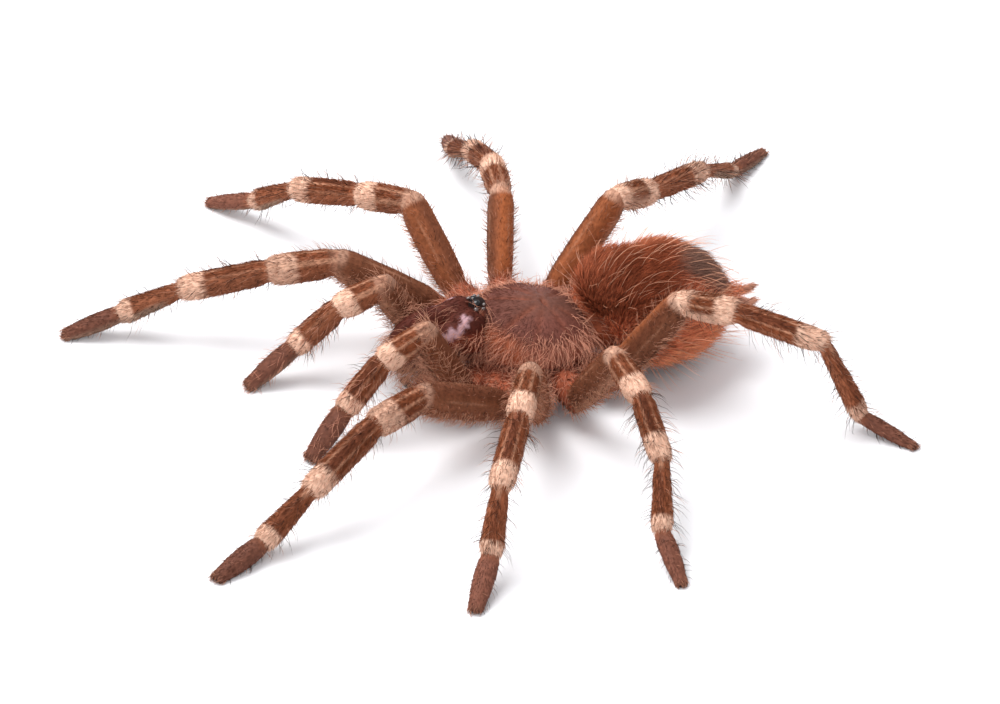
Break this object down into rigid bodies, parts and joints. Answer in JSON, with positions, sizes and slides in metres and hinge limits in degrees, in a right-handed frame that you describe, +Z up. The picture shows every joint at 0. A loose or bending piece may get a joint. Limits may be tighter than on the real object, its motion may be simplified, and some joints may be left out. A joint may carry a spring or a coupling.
{
  "type": "tarantula",
  "caption": "Young hairy tarantula standing with legs spread, a still life-size model with banded knees, jaws, feelers and spinnerets.",
  "frame": {"origin": "middle of the ground area that the spread legs cover, on the floor under the animal", "axes": "the animal faces -Y, its left side is +X and up is +Z"},
  "size_m": [0.0694, 0.0668, 0.0119],
  "materials": {
    "abdomen": "short velvety reddish brown fur with long pale orange hairs and a dark patch above the rear",
    "carapace": "hard shield plate under fine lying mauve-brown hair",
    "chelicera": "dark red brown, with long curved hairs on top",
    "eye": "black or pearly white, very glossy",
    "fang": "black, glossy, smooth",
    "femur": "smooth olive to orange brown cuticle with sparse hair",
    "foot": "brown velvety pad hair with a narrow cream band at the ankle",
    "patella": "dark brown hair with two pale stripes and a cream band at the far end",
    "spinneret": "orange tan, finely haired",
    "tarsus": "brown velvety pad hair",
    "tibia": "brown hair with a cream band at the far end",
    "underside": "reddish brown hips and breast plate with curly pale hair"
  },
  "bodies": {
    "root": {"abdomen": "abdomen", "carapace": "carapace", "chelicera_left": "chelicera", "chelicera_right": "chelicera", "eye_front_middle_left": "eye", "eye_front_middle_right": "eye", "eye_front_side_left": "eye", "eye_front_side_right": "eye", "eye_rear_middle_left": "eye", "eye_rear_middle_right": "eye", "eye_rear_side_left": "eye", "eye_rear_side_right": "eye", "fang_left": "fang", "fang_right": "fang", "leg_1_left_femur": "femur", "leg_1_left_foot": "foot", "leg_1_left_patella": "patella", "leg_1_left_tibia": "tibia", "leg_1_right_femur": "femur", "leg_1_right_foot": "foot", "leg_1_right_patella": "patella", "leg_1_right_tibia": "tibia", "leg_2_left_femur": "femur", "leg_2_left_foot": "foot", "leg_2_left_patella": "patella", "leg_2_left_tibia": "tibia", "leg_2_right_femur": "femur", "leg_2_right_foot": "foot", "leg_2_right_patella": "patella", "leg_2_right_tibia": "tibia", "leg_3_left_femur": "femur", "leg_3_left_foot": "foot", "leg_3_left_patella": "patella", "leg_3_left_tibia": "tibia", "leg_3_right_femur": "femur", "leg_3_right_foot": "foot", "leg_3_right_patella": "patella", "leg_3_right_tibia": "tibia", "leg_4_left_femur": "femur", "leg_4_left_foot": "foot", "leg_4_left_patella": "patella", "leg_4_left_tibia": "tibia", "leg_4_right_femur": "femur", "leg_4_right_foot": "foot", "leg_4_right_patella": "patella", "leg_4_right_tibia": "tibia", "palp_left_femur": "femur", "palp_left_patella": "patella", "palp_left_tarsus": "tarsus", "palp_left_tibia": "tibia", "palp_right_femur": "femur", "palp_right_patella": "patella", "palp_right_tarsus": "tarsus", "palp_right_tibia": "tibia", "spinneret_left": "spinneret", "spinneret_right": "spinneret", "underside": "underside"}
  },
  "joints": []
}
